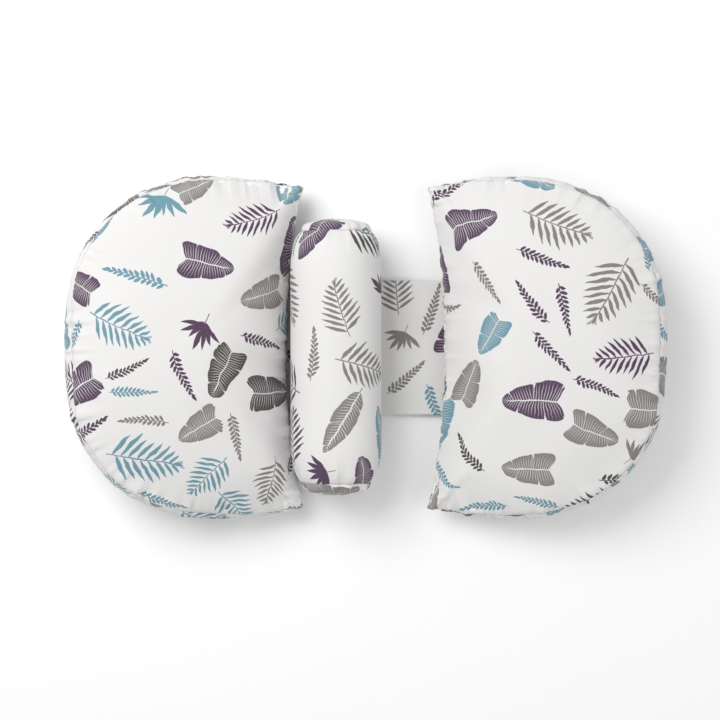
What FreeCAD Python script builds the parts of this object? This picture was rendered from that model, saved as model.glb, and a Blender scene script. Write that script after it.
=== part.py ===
"""Side-sleeper support pillow: two D-shaped cushions, a two-part strap and a small bolster.

Millimetres. +X runs across the pair from the left cushion to the right one, +Y along the
cushions' straight sides, +Z up from the surface that the pillow lies on. The origin is on
that surface, in the middle of the pillow. Each zipped case holds a liner and a filling.
"""

import FreeCAD, Part

import math
import os

import Sketcher

SIZES = [
    # the two cushions
    ("cushion_length", 400, "widest, along the straight side"),
    ("cushion_depth", 278, "corner to the far end of the curve"),
    ("cushion_height", 118, "floor to crown"),
    ("cushion_gap", 140, "between the two cushions' corners"),
    ("nose_radius", 400, "far end of the curve"),
    ("nose_to_widest", 165, "far end to the widest place"),
    ("corner_drop", 10, "each corner, in from the widest place"),
    ("edge_sag", 21, "how far the straight side pulls in between its corners"),
    ("rim_radius", 38, "rounding of the curved side's top and bottom edges"),
    ("seam_height", 34, "straight side's seam above the floor"),
    ("lower_run", 60, "width of the slope below that seam"),
    ("upper_run", 120, "width of the slope above that seam"),
    # the side band round each curve
    ("gusset_low", 14, "lower seam's height at the far end"),
    ("gusset_crown", 12, "upper seam's depth below the crown at the far end"),
    ("gusset_end", 18, "band's height at the corners"),
    ("gusset_setback", 26, "band's end, in from the corners"),
    # what the cases are made of and hold
    ("cover_wall", 1.5, "cotton case"),
    ("liner_gap", 0.5, "case to liner"),
    ("liner_wall", 1.0, "liner"),
    ("filling_gap", 0.5, "liner to filling"),
    # the strap
    ("strap_width", 160, "across the strap"),
    ("cloth", 1.0, "each layer of the strap, and the hook and loop tapes"),
    ("strap_play", 0.3, "between the two halves, and below the bolster"),
    ("strap_cutback", 3, "free length at each fold"),
    ("left_half_end", 10, "left half's free end, right of the middle"),
    ("right_half_tuck", 10, "right half's free end, in under the left cushion"),
    ("tape_margin", 4, "hook and loop tapes, in from the strap's ends and edges"),
    # the bolster
    ("bolster_length", 320, "end to end"),
    ("bolster_radius", 50, "round section"),
    ("bolster_rounding", 30, "at its two ends"),
    ("bolster_end_depth", 14, "depth of its sewn end panels"),
    ("bolster_tuck", 11.5, "how far it sinks in past the left cushion's corners"),
    ("bolster_along", -11, "its middle, from the middle of the pillow"),
    ("bolster_zip_turn", 60, "degrees from straight down, where its zip lies"),
    # the zips
    ("zip_length", 300, "of each cushion's zip"),
    ("bolster_zip_length", 220, "of the bolster's zip"),
    ("zip_margin", 3, "from a cushion's seam to the edge of its zip tape"),
    ("zip_tape", 20, "both tapes together"),
    ("zip_slit", 1.0, "between the two tapes"),
    ("coil_width", 4, "across the teeth"),
    ("coil_height", 1.4, "above the tape"),
    ("coil_core", 1.2, "spine of the closed teeth"),
    ("tooth_pitch", 3, "along the teeth"),
    ("tooth_length", 1.6, "of one tooth"),
    ("stop_length", 2, "end stop, along the zip"),
    ("stop_gap", 0.3, "teeth to end stop"),
    ("stop_overhang", 0.5, "end stop beyond the teeth, on each side"),
    ("stop_proud", 0.8, "end stop above the teeth"),
    ("opening_play", 1, "beyond each end stop, to the end of the zip's opening"),
    ("opening_depth", 5, "cut each way from the panel's face for the opening"),
    ("slider_length", 11, "along the zip"),
    ("slider_width", 8, "across the zip"),
    ("slider_top", 3.6, "above the tape"),
    ("slider_play", 0.3, "round the teeth and over the tape"),
    ("parked_gap", 0.5, "slider to the end of the teeth, with the zip closed"),
    ("lug_width", 0.9, "each of the slider's two lugs"),
    ("lug_length", 3, "along the zip"),
    ("lug_rise", 0.3, "above the pin"),
    ("pin_height", 5.3, "pin's axis above the tape"),
    ("pin_radius", 0.6, "of the pin that holds the pull"),
    ("pin_play", 0.1, "round the pin"),
    ("pin_recess", 0.1, "each end of the pin, in from the lug's face"),
    ("eye_radius", 1.5, "outside of the pull's eye"),
    ("eye_width", 3, "pull's eye, across the zip"),
    ("eye_play", 0.25, "each side of the eye"),
    ("pull_length", 18, "pin to tip"),
    ("pull_width", 6, "across the pull"),
    ("pull_thickness", 1.0, "of the pull"),
    ("neck_length", 4, "narrow part of the pull"),
    ("hole_length", 2, "hole in the pull, along it"),
]

# Half the room that a plain cutting block has beyond what it cuts.
SPARE = 20

doc = FreeCAD.newDocument("support_pillow")
sheet = doc.addObject("Spreadsheet::Sheet", "Sizes")
for row, (alias, value, meaning) in enumerate(SIZES, start=1):
    sheet.set(f"A{row}", meaning)
    sheet.set(f"B{row}", str(value))
    sheet.setAlias(f"B{row}", alias)
doc.recompute()

nodes = []
NAMES = {alias for alias, _, _ in SIZES}

# Places that follow from several sizes, as expressions.
GUSSET_HIGH = "( cushion_height - gusset_crown )"
RIGHT_HALF_END = "( -1 * cushion_gap / 2 - right_half_tuck )"
STRAP_TOP = "( 6 * cloth + strap_play )"


def size(alias):
    """The value of one named size."""
    return float(getattr(sheet, alias))


def cell(expression):
    """An expression in which each named size is read from the sheet."""
    return " ".join(
        f"Sizes.{word}" if word in NAMES else word for word in expression.split()
    )


def keep(thing, label, place=None):
    """Marks a finished sub-part, which is written to a file under its label."""
    thing.Label = label
    if place is not None:
        thing.Placement = place
    nodes.append(thing)
    return thing


# Sketches and solids ---------------------------------------------------------------------


def origin_plane(body, role):
    """One of the three planes of a body's own origin."""
    return next(f for f in body.Origin.OriginFeatures if f.Role == role)


def new_sketch(body, name, role="XY_Plane", lift=None):
    """An empty sketch on one of the body's planes, raised off it by an expression."""
    sketch = body.newObject("Sketcher::SketchObject", name)
    sketch.AttachmentSupport = (origin_plane(body, role), [""])
    sketch.MapMode = "FlatFace"
    if lift is not None:
        sketch.setExpression("AttachmentOffset.Base.z", cell(lift))
    return sketch


def bind(sketch, kind, *spots, drawn, by):
    """Adds one constraint, at its value as drawn, and ties it to an expression."""
    index = sketch.addConstraint(Sketcher.Constraint(kind, *spots, drawn))
    sketch.setExpression(f"Constraints[{index}]", cell(by))


def pin_across(sketch, edge, end, across):
    """Holds one end of an edge, or its centre, at a distance given by an expression."""
    drawn = sketch.getPoint(edge, end).x
    bind(sketch, "DistanceX", -1, 1, edge, end, drawn=drawn, by=across)


def pin_point(sketch, edge, end, across, along):
    """Holds one end of an edge, or its centre, at a place given by two expressions."""
    pin_across(sketch, edge, end, across)
    drawn = sketch.getPoint(edge, end).y
    bind(sketch, "DistanceY", -1, 1, edge, end, drawn=drawn, by=along)


def pin_radius(sketch, edge, radius):
    """Gives an arc or circle the radius of an expression."""
    bind(sketch, "Radius", edge, drawn=sketch.Geometry[edge].Radius, by=radius)


def polygon(sketch, corners):
    """A closed outline of straight lines through corners given as pairs of expressions."""
    count = len(corners)
    turn = 2 * math.pi / count
    spots = [
        FreeCAD.Vector(math.cos(turn * i), math.sin(turn * i), 0) for i in range(count)
    ]
    first = sketch.GeometryCount
    for i in range(count):
        sketch.addGeometry(Part.LineSegment(spots[i], spots[(i + 1) % count]))
    for i in range(count):
        after = first + (i + 1) % count
        sketch.addConstraint(Sketcher.Constraint("Coincident", first + i, 2, after, 1))
    for i, (across, along) in enumerate(corners):
        pin_point(sketch, first + i, 1, across, along)


def rectangle(sketch, low_x, high_x, low_y, high_y):
    """A closed rectangle between four expressions."""
    polygon(
        sketch, [(low_x, low_y), (high_x, low_y), (high_x, high_y), (low_x, high_y)]
    )


def circle(sketch, height, radius):
    """A circle on the sketch's upright axis."""
    ring = sketch.addGeometry(
        Part.Circle(FreeCAD.Vector(0, 0, 0), FreeCAD.Vector(0, 0, 1), 1)
    )
    pin_point(sketch, ring, 3, "0", height)
    pin_radius(sketch, ring, radius)


def pad(body, sketch, length, midplane=False):
    """Material from a sketch."""
    made = body.newObject("PartDesign::Pad", sketch.Name + "_pad")
    made.Profile = sketch
    made.Midplane = midplane
    made.setExpression("Length", cell(length))
    return made


def pocket(body, sketch, length):
    """Material cut away on both sides of a sketch."""
    made = body.newObject("PartDesign::Pocket", sketch.Name + "_pocket")
    made.Profile = sketch
    made.Midplane = True
    made.setExpression("Length", cell(length))
    return made


def fillet(body, base, edges, radius):
    """Rounded edges of a feature."""
    made = body.newObject("PartDesign::Fillet", base.Name + "_rounding")
    made.Base = (base, edges)
    made.setExpression("Radius", cell(radius))
    return made


def block(name, length, width, height, corner):
    """A plain box with its lowest corner at a place."""
    made = doc.addObject("Part::Box", name)
    made.setExpression("Length", cell(length))
    made.setExpression("Width", cell(width))
    made.setExpression("Height", cell(height))
    made.Placement.Base = FreeCAD.Vector(*corner)
    return made


def cut(name, base, tool):
    """One shape less another."""
    made = doc.addObject("Part::Cut", name)
    made.Base = base
    made.Tool = tool
    return made


def common(name, base, tool):
    """What two shapes share."""
    made = doc.addObject("Part::Common", name)
    made.Base = base
    made.Tool = tool
    return made


# Cushions --------------------------------------------------------------------------------


def outline(sketch, inset):
    """The D seen from above, drawn in by an expression. Its straight side is near x = 0."""
    depth, half = size("cushion_depth"), size("cushion_length") / 2
    nose, wide = size("nose_radius"), size("nose_to_widest")
    corner = half - size("corner_drop")
    shoulder = (2 * wide * nose - wide**2 - half**2) / (2 * nose - 2 * half)
    rise = half - shoulder
    lean = math.atan2(rise, nose - wide)
    nose_x, wide_x = nose - depth, wide - depth
    side = ((depth - wide) ** 2 + size("corner_drop") ** 2) / (2 * size("corner_drop"))
    sag = size("edge_sag")
    edge = (corner**2 + sag**2) / (2 * sag)

    def arc(x, y, radius, start, end):
        whole = Part.Circle(FreeCAD.Vector(x, y, 0), FreeCAD.Vector(0, 0, 1), radius)
        return sketch.addGeometry(Part.ArcOfCircle(whole, start, end))

    spread = math.asin((depth - wide) / side)
    hollow = math.asin(corner / edge)
    curve_end = arc(nose_x, 0, nose, math.pi - lean, math.pi + lean)
    back_shoulder = arc(wide_x, rise, shoulder, math.pi / 2, math.pi - lean)
    front_shoulder = arc(wide_x, -rise, shoulder, math.pi + lean, math.pi * 1.5)
    back_side = arc(wide_x, half - side, side, math.pi / 2 - spread, math.pi / 2)
    front_side = arc(wide_x, side - half, side, -math.pi / 2, spread - math.pi / 2)
    edge_arc = arc(edge - sag, 0, edge, math.pi - hollow, math.pi + hollow)

    def join(*spots):
        sketch.addConstraint(Sketcher.Constraint("Tangent", *spots))

    join(curve_end, 1, back_shoulder, 2)
    join(curve_end, 2, front_shoulder, 1)
    join(back_shoulder, 1, back_side, 2)
    join(front_shoulder, 2, front_side, 1)
    sketch.addConstraint(Sketcher.Constraint("Coincident", back_side, 1, edge_arc, 1))
    sketch.addConstraint(Sketcher.Constraint("Coincident", front_side, 2, edge_arc, 2))
    pin_point(sketch, curve_end, 3, "nose_radius - cushion_depth", "0")
    pin_radius(sketch, curve_end, f"nose_radius - {inset}")
    for shoulder_arc, end, sign in ((back_shoulder, 1, "1"), (front_shoulder, 2, "-1")):
        widest = f"{sign} * ( cushion_length / 2 - {inset} )"
        across = "nose_to_widest - cushion_depth"
        pin_point(sketch, shoulder_arc, end, across, widest)
        pin_across(sketch, shoulder_arc, 3, across)
    for side_arc, end, sign in ((back_side, 1, "1"), (front_side, 2, "-1")):
        along = f"{sign} * ( cushion_length / 2 - corner_drop - {inset} )"
        pin_point(sketch, side_arc, end, f"-1 * ( {inset} )", along)
    half_chord = f"( cushion_length / 2 - corner_drop - {inset} )"
    centre = f"( {half_chord} ^ 2 - edge_sag ^ 2 ) / ( 2 * edge_sag ) - {inset}"
    pin_across(sketch, edge_arc, 3, centre)


def rim_edges(shape, low, high):
    """Names of the top and bottom edges of the curved side, which the straight side isn't."""
    found = []
    middle = size("gusset_setback")
    for index, edge in enumerate(shape.Edges, start=1):
        box = edge.BoundBox
        flat = box.ZLength < 0.01 and min(abs(box.ZMin - low), abs(box.ZMin - high)) < 0.01
        if flat and box.XMin < -middle:
            found.append(f"Edge{index}")
    return found


def cushion_block(name, inset):
    """A solid cushion whose faces all lie in from the outside by an expression."""
    body = doc.addObject("PartDesign::Body", name)
    plan = new_sketch(body, name + "_plan", lift=inset)
    outline(plan, inset)
    slab = pad(body, plan, f"cushion_height - 2 * ( {inset} )")
    doc.recompute()
    box = slab.Shape.BoundBox
    rims = rim_edges(slab.Shape, box.ZMin, box.ZMax)
    fillet(body, slab, rims, f"rim_radius - ( {inset} )")
    doc.recompute()
    slopes = new_sketch(body, name + "_slopes", "XZ_Plane")
    # Each slope's line is moved in along its own normal, so the wall stays even.
    lower = "( lower_run ^ 2 + seam_height ^ 2 ) ^ 0.5"
    lower_in = f"( {inset} ) * {lower} / seam_height"
    rise = "( cushion_height - seam_height )"
    upper = f"( upper_run ^ 2 + {rise} ^ 2 ) ^ 0.5"
    upper_in = f"( {inset} ) * {upper} / {rise}"
    beyond = str(SPARE)
    lower_slope = "( seam_height / lower_run )"
    upper_slope = f"( {rise} / upper_run )"
    polygon(
        slopes,
        [
            (f"-1 * lower_run - {lower_in} - {beyond}", f"-1 * {beyond} * {lower_slope}"),
            (beyond, f"-1 * {beyond} * {lower_slope}"),
            (beyond, f"seam_height + ( {lower_in} + {beyond} ) * {lower_slope}"),
        ],
    )
    polygon(
        slopes,
        [
            (beyond, f"seam_height - ( {upper_in} + {beyond} ) * {upper_slope}"),
            (beyond, f"cushion_height + {beyond} * {upper_slope}"),
            (
                f"-1 * upper_run - {upper_in} - {beyond}",
                f"cushion_height + {beyond} * {upper_slope}",
            ),
        ],
    )
    pocket(body, slopes, f"cushion_length + 2 * {SPARE}")
    return body


def gusset_block(name):
    """The wedge of space that the side band lies in: tall at the curve, low at the corners."""
    body = doc.addObject("PartDesign::Body", name)
    side = new_sketch(body, name + "_side", "XZ_Plane")
    far = f"-1 * cushion_depth - {SPARE}"
    near = "-1 * gusset_setback"
    reach = "( cushion_depth - gusset_setback )"
    low_end = "( seam_height - gusset_end / 2 )"
    high_end = "( seam_height + gusset_end / 2 )"
    polygon(
        side,
        [
            (far, f"gusset_low - ( {low_end} - gusset_low ) * {SPARE} / {reach}"),
            (near, low_end),
            (near, high_end),
            (far, f"{GUSSET_HIGH} + ( {GUSSET_HIGH} - {high_end} ) * {SPARE} / {reach}"),
        ],
    )
    pad(body, side, f"cushion_length + 2 * {SPARE}", midplane=True)
    return body


def slope_angle():
    """The lower slope's angle above the floor, in radians."""
    return math.atan2(size("seam_height"), size("lower_run"))


def cushion_zip_seat():
    """Where a cushion's zip lies: along Y in the middle of the lower slope, facing out."""
    lean = slope_angle()
    inset = size("edge_sag") + size("zip_tape") / 2 + size("zip_margin")
    spot = FreeCAD.Vector(-inset, 0, (size("lower_run") - inset) * math.tan(lean))
    along = FreeCAD.Vector(0, 1, 0)
    across = FreeCAD.Vector(math.cos(lean), 0, math.sin(lean))
    out = FreeCAD.Vector(math.sin(lean), 0, -math.cos(lean))
    return FreeCAD.Placement(spot, FreeCAD.Rotation(along, across, out, "XYZ"))


COVER_IN = "cover_wall"
LINER_OUT = COVER_IN + " + liner_gap"
LINER_IN = LINER_OUT + " + liner_wall"
FILLING_OUT = LINER_IN + " + filling_gap"


def make_cushion(side, place):
    """One cushion: top and bottom panels, side band, liner, filling and zip."""
    whole = cushion_block(side + "_outside", "0")
    inside = cushion_block(side + "_case_inside", f"( {COVER_IN} )")
    case = cut(side + "_case", whole, inside)
    band = gusset_block(side + "_band_space")
    keep(common(side + "_gusset", case, band), side + "_gusset", place)
    panels = cut(side + "_panels", case, band)
    far = -size("cushion_depth") - SPARE
    half = size("cushion_length") / 2 + SPARE
    span = f"cushion_depth + 2 * {SPARE}", f"cushion_length + 2 * {SPARE}"
    above = block(side + "_above", *span, "cushion_height", (far, -half, 0))
    above.setExpression("Placement.Base.z", cell("seam_height"))
    below = block(side + "_below", *span, f"seam_height + {SPARE}", (far, -half, -SPARE))
    keep(common(side + "_top_panel", panels, above), side + "_top_panel", place)
    bottom = common(side + "_bottom_blank", panels, below)
    seat = cushion_zip_seat()
    make_zip(side, bottom, side + "_bottom_panel", "zip_length", seat, place)
    liner = cut(
        side + "_liner",
        cushion_block(side + "_liner_outside", f"( {LINER_OUT} )"),
        cushion_block(side + "_liner_inside", f"( {LINER_IN} )"),
    )
    keep(liner, side + "_liner", place)
    filling = cushion_block(side + "_filling", f"( {FILLING_OUT} )")
    keep(filling, side + "_filling", place)


# Zips ------------------------------------------------------------------------------------


def make_zip(owner, blank, panel_label, length, seat, place):
    """Cuts a zip's opening in a panel and makes the zip: tapes, teeth, stops, slider, pull.

    seat is where the zip lies on the panel, in the panel's own space: X along the zip and
    Z out of the panel. place is where that space lies in the whole pillow.
    """
    half = size(length) / 2

    def channel(name, width):
        beyond = size("stop_length") + size("opening_play")
        made = block(
            owner + name,
            f"{length} + 2 * ( stop_length + opening_play )",
            width,
            "2 * opening_depth",
            (-half - beyond, -size(width) / 2, -size("opening_depth")),
        )
        made.Placement = seat * made.Placement
        return made

    opening = channel("_zip_opening", "zip_tape")
    keep(cut(owner + "_zipped_panel", blank, opening), panel_label, place)
    strip = common(owner + "_zip_strip", blank, opening)
    tapes = cut(owner + "_zip_tapes", strip, channel("_zip_slit", "zip_slit"))
    keep(tapes, owner + "_zipper_tapes", place)
    here = place * seat
    keep(zip_teeth(owner, length), owner + "_zipper_teeth", here)
    keep(zip_stops(owner, length), owner + "_zipper_stops", here)
    run = half - size("slider_length") / 2 - size("parked_gap")
    parked = here * FreeCAD.Placement(FreeCAD.Vector(run, 0, 0), FreeCAD.Rotation())
    keep(zip_slider(owner), owner + "_zipper_slider", parked)
    keep(zip_pull(owner), owner + "_zipper_pull", parked)


def zip_teeth(owner, length):
    """The closed teeth: a spine with a row of bars across it."""
    body = doc.addObject("PartDesign::Body", owner + "_teeth")
    spine = new_sketch(body, owner + "_spine")
    half = f"{length} / 2"
    rectangle(spine, f"-1 * {half}", half, "-1 * coil_core / 2", "coil_core / 2")
    pad(body, spine, "coil_height")
    tooth = new_sketch(body, owner + "_tooth")
    start = f"-1 * {half} + tooth_pitch / 4"
    sides = "-1 * coil_width / 2", "coil_width / 2"
    rectangle(tooth, start, start + " + tooth_length", *sides)
    bar = pad(body, tooth, "coil_height")
    doc.recompute()
    row = body.newObject("PartDesign::LinearPattern", owner + "_tooth_row")
    row.Originals = [bar]
    row.Direction = (tooth, ["H_Axis"])
    row.Refine = False
    count = f"floor( {length} / tooth_pitch )"
    row.setExpression("Occurrences", cell(count))
    row.setExpression("Length", cell(f"( {count} - 1 ) * tooth_pitch"))
    body.Tip = row
    return body


def zip_stops(owner, length):
    """A small stop beyond each end of the teeth."""
    body = doc.addObject("PartDesign::Body", owner + "_stops")
    body.AllowCompound = True
    ends = new_sketch(body, owner + "_stop_pair")
    near = f"{length} / 2 + stop_gap"
    far = near + " + stop_length"
    sides = "-1 * coil_width / 2 - stop_overhang", "coil_width / 2 + stop_overhang"
    rectangle(ends, near, far, *sides)
    rectangle(ends, f"-1 * ( {far} )", f"-1 * ( {near} )", *sides)
    pad(body, ends, "coil_height + stop_proud")
    return body


def zip_slider(owner):
    """The slider: a block over the teeth, with two lugs and the pin that holds the pull."""
    body = doc.addObject("PartDesign::Body", owner + "_slider")
    plan = new_sketch(body, owner + "_slider_plan", lift="slider_play")
    long_half, wide_half = "slider_length / 2", "slider_width / 2"
    rectangle(plan, f"-1 * {long_half}", long_half, f"-1 * {wide_half}", wide_half)
    pad(body, plan, "slider_top - slider_play")
    tunnel = new_sketch(body, owner + "_slider_tunnel", "YZ_Plane")
    reach = "( coil_width / 2 + slider_play )"
    rectangle(tunnel, f"-1 * {reach}", reach, "0", "coil_height + slider_play")
    pocket(body, tunnel, "2 * slider_length")
    lugs = new_sketch(body, owner + "_slider_lugs", lift="slider_top")
    near = "( eye_width / 2 + eye_play )"
    far = f"( {near} + lug_width )"
    rectangle(lugs, "-1 * lug_length / 2", "lug_length / 2", near, far)
    rectangle(
        lugs, "-1 * lug_length / 2", "lug_length / 2", f"-1 * {far}", f"-1 * {near}"
    )
    pad(body, lugs, "pin_height + pin_radius + lug_rise - slider_top")
    pin = new_sketch(body, owner + "_slider_pin", "XZ_Plane")
    circle(pin, "pin_height", "pin_radius")
    pad(body, pin, f"2 * ( {far} - pin_recess )", midplane=True)
    return body


def zip_pull(owner):
    """The pull: an eye round the slider's pin, a narrow neck and a flat tab with a hole."""
    body = doc.addObject("PartDesign::Body", owner + "_pull")
    eye = new_sketch(body, owner + "_pull_eye", "XZ_Plane")
    circle(eye, "pin_height", "eye_radius")
    pad(body, eye, "eye_width", midplane=True)
    tab = new_sketch(body, owner + "_pull_tab", lift="pin_height - pull_thickness / 2")
    neck, wide = "eye_width / 2", "pull_width / 2"
    polygon(
        tab,
        [
            ("0", f"-1 * {neck}"),
            ("0", neck),
            ("-1 * neck_length", neck),
            ("-1 * neck_length - pull_width / 4", wide),
            ("-1 * pull_length", wide),
            ("-1 * pull_length", f"-1 * {wide}"),
            ("-1 * neck_length - pull_width / 4", f"-1 * {wide}"),
            ("-1 * neck_length", f"-1 * {neck}"),
        ],
    )
    pad(body, tab, "pull_thickness")
    bore = new_sketch(body, owner + "_pull_bore", "XZ_Plane")
    circle(bore, "pin_height", "pin_radius + pin_play")
    pocket(body, bore, "2 * eye_width")
    window = new_sketch(body, owner + "_pull_window", lift="pin_height")
    edge = "-1 * pull_length + pull_width / 3"
    rectangle(window, edge, edge + " + hole_length", "-1 * pull_width / 4", "pull_width / 4")
    pocket(body, window, "2 * pull_thickness")
    return body


# Strap -----------------------------------------------------------------------------------


def layer(label, low_x, high_x, margin, floor):
    """One flat layer of the strap, between two places along X, at a height."""
    width = f"strap_width - 2 * ( {margin} )"
    made = doc.addObject("Part::Box", label)
    made.setExpression("Length", cell(f"( {high_x} ) - ( {low_x} )"))
    made.setExpression("Width", cell(width))
    made.setExpression("Height", cell("cloth"))
    made.setExpression("Placement.Base.x", cell(low_x))
    made.setExpression("Placement.Base.y", cell(f"-1 * ( {width} ) / 2"))
    made.setExpression("Placement.Base.z", cell(floor))
    keep(made, label)


def make_strap():
    """Two halves, each of two layers sewn together, held by hook and loop tape between."""
    flat_start = "( cushion_gap / 2 + lower_run )"
    left_top = "2 * cloth"
    fold = "lower_run / seam_height"
    left_fold = f"-1 * {flat_start} + {left_top} * {fold} + strap_cutback"
    right_fold = f"{flat_start} - {STRAP_TOP} * {fold} - strap_cutback"
    layer("left_strap_lining", left_fold, "left_half_end", "0", "0")
    layer("left_strap_face", left_fold, "left_half_end", "0", "cloth")
    first, last = f"{RIGHT_HALF_END} + tape_margin", "left_half_end - tape_margin"
    layer("strap_loop_tape", first, last, "tape_margin", "2 * cloth")
    layer("strap_hook_tape", first, last, "tape_margin", "3 * cloth + strap_play")
    layer("right_strap_lining", RIGHT_HALF_END, right_fold, "0", "4 * cloth + strap_play")
    layer("right_strap_face", RIGHT_HALF_END, right_fold, "0", "5 * cloth + strap_play")


# Bolster ---------------------------------------------------------------------------------


def bolster_block(name, inset):
    """A solid bolster along Y whose faces all lie in from the outside by an expression."""
    body = doc.addObject("PartDesign::Body", name)
    section = new_sketch(body, name + "_section", "XZ_Plane")
    circle(section, "0", f"bolster_radius - {inset}")
    tube = pad(body, section, f"bolster_length - 2 * {inset}", midplane=True)
    doc.recompute()
    rims = [
        f"Edge{index}"
        for index, edge in enumerate(tube.Shape.Edges, start=1)
        if edge.BoundBox.YLength < 0.01
    ]
    fillet(body, tube, rims, f"bolster_rounding - {inset}")
    return body


def make_bolster():
    """The bolster: a sleeve, two end panels, liner, filling and zip."""
    floor = 6 * size("cloth") + 2 * size("strap_play")
    radius = size("bolster_radius")
    across = radius - size("bolster_tuck") - size("cushion_gap") / 2
    centre = (across, size("bolster_along"), floor + radius)
    place = FreeCAD.Placement(FreeCAD.Vector(*centre), FreeCAD.Rotation())
    case = cut(
        "bolster_case",
        bolster_block("bolster_outside", "0"),
        bolster_block("bolster_case_inside", f"( {COVER_IN} )"),
    )
    reach = radius + SPARE
    half = size("bolster_length") / 2
    inner = half - size("bolster_end_depth")
    width = f"2 * ( bolster_radius + {SPARE} )"
    end_depth = f"bolster_end_depth + {SPARE}"
    middle = block(
        "bolster_middle",
        width,
        "bolster_length - 2 * bolster_end_depth",
        width,
        (-reach, -inner, -reach),
    )
    sleeve = common("bolster_sleeve_blank", case, middle)
    for label, corner in (
        ("bolster_back_end_panel", inner),
        ("bolster_front_end_panel", -half - SPARE),
    ):
        end = block(label + "_space", width, end_depth, width, (-reach, corner, -reach))
        keep(common(label, case, end), label, place)
    turn = math.radians(size("bolster_zip_turn"))
    out = FreeCAD.Vector(math.sin(turn), 0, -math.cos(turn))
    along = FreeCAD.Vector(0, 1, 0)
    spin = FreeCAD.Rotation(along, out.cross(along), out, "XYZ")
    seat = FreeCAD.Placement(out * radius, spin)
    make_zip("bolster", sleeve, "bolster_sleeve", "bolster_zip_length", seat, place)
    liner = cut(
        "bolster_liner",
        bolster_block("bolster_liner_outside", f"( {LINER_OUT} )"),
        bolster_block("bolster_liner_inside", f"( {LINER_IN} )"),
    )
    keep(liner, "bolster_liner", place)
    filling = bolster_block("bolster_filling", f"( {FILLING_OUT} )")
    keep(filling, "bolster_filling", place)


# The whole pillow ------------------------------------------------------------------------

half_gap = size("cushion_gap") / 2
about_z = FreeCAD.Rotation(FreeCAD.Vector(0, 0, 1), 180)
left_place = FreeCAD.Placement(FreeCAD.Vector(-half_gap, 0, 0), FreeCAD.Rotation())
right_place = FreeCAD.Placement(FreeCAD.Vector(half_gap, 0, 0), about_z)
make_cushion("left", left_place)
make_cushion("right", right_place)
make_strap()
make_bolster()
doc.recompute()

for thing in doc.Objects:
    failed = {"Invalid", "Error"} & set(thing.State)
    if failed:
        raise RuntimeError(f"{thing.Name} did not rebuild: {thing.State}")

os.makedirs("parts", exist_ok=True)
for node in nodes:
    shape = node.Shape
    if shape.isNull() or not shape.isValid() or not shape.Solids:
        raise RuntimeError(f"{node.Label} has no valid solid")
    shape.exportStep(f"parts/{node.Label}.step")
print(len(nodes), "sub-parts written")
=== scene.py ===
"""Side-sleeper support pillow: two stuffed cushions, a strap and a bolster in leaf-printed cotton.

Metres, in the frame of the CAD model: +X across the pair, +Y along the cushions' straight
sides, +Z up. The right cushion is cut and stuffed like the left one and turned half a turn.
"""

import math
import random

import bmesh
import bpy
import numpy as np
from mathutils import Matrix, Vector, noise
from mathutils.bvhtree import BVHTree
from mathutils.geometry import convex_hull_2d, delaunay_2d_cdt
from mathutils.kdtree import KDTree


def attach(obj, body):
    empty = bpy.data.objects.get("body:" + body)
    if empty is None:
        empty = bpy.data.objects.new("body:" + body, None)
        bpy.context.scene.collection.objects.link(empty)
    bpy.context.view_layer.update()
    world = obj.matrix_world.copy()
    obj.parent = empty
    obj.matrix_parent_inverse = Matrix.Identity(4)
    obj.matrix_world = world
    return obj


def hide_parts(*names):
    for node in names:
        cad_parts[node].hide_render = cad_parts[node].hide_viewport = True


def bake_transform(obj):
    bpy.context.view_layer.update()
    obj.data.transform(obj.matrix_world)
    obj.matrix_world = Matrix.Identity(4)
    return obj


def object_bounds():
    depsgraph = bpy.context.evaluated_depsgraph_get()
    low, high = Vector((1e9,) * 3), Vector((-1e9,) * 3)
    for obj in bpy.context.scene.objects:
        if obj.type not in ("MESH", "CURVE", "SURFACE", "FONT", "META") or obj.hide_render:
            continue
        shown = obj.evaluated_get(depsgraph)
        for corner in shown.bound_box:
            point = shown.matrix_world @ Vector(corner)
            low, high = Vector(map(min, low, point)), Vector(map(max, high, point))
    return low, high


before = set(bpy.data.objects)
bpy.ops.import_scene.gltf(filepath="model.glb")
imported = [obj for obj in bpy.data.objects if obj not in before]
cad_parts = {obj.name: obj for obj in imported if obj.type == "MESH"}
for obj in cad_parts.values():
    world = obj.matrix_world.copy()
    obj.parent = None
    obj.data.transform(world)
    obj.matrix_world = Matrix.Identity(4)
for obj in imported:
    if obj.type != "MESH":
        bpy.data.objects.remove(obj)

CAD_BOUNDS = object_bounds()
MM = 0.001


def node_points(*names):
    """All vertices of some CAD nodes."""
    return np.array([v.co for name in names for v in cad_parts[name].data.vertices])


def box_of(*names):
    """Lowest and highest corner round some CAD nodes."""
    points = node_points(*names)
    return points.min(0), points.max(0)


def extent(name, axis):
    """A CAD node's size along an axis: 0, 1 or 2."""
    low, high = box_of(name)
    return float(high[axis] - low[axis])


# Cloth and stuffing
CLOTH_CELL = 5.6 * MM  # edge length of the simulated cloth
CELL_JITTER = 0.22  # how far its points are shifted, in cells
EDGE_CLEARANCE = 0.62  # how far they keep from a cut edge, in cells
SHORTEST_BAND = 1.3  # the least height that the side band has between its tips, in cells
FRAMES = 26
CUSHION_PRESSURE = 3.2
BOLSTER_PRESSURE = 5.0
CASE_THICKNESS = 1.2 * MM
LINER_DEPTH = 4 * MM  # how far in from the case the liner lies
FILLING_DEPTH = 7 * MM
SMOOTHING = 26  # rounds of easing that take the finest wrinkles out
PUCKER_HEIGHT = 3.4 * MM  # of the gathers that run away from a seam
PUCKER_REACH = 7 * MM
PUCKER_WAVE = 9 * MM
SEAM_SINK = 3.2 * MM  # how far a sewn seam lies below the cloth beside it
BOLSTER_SEAM_SINK = 1.4 * MM
SINK_BESIDE = 0.12  # the share of that for the points beside a seam
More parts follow.
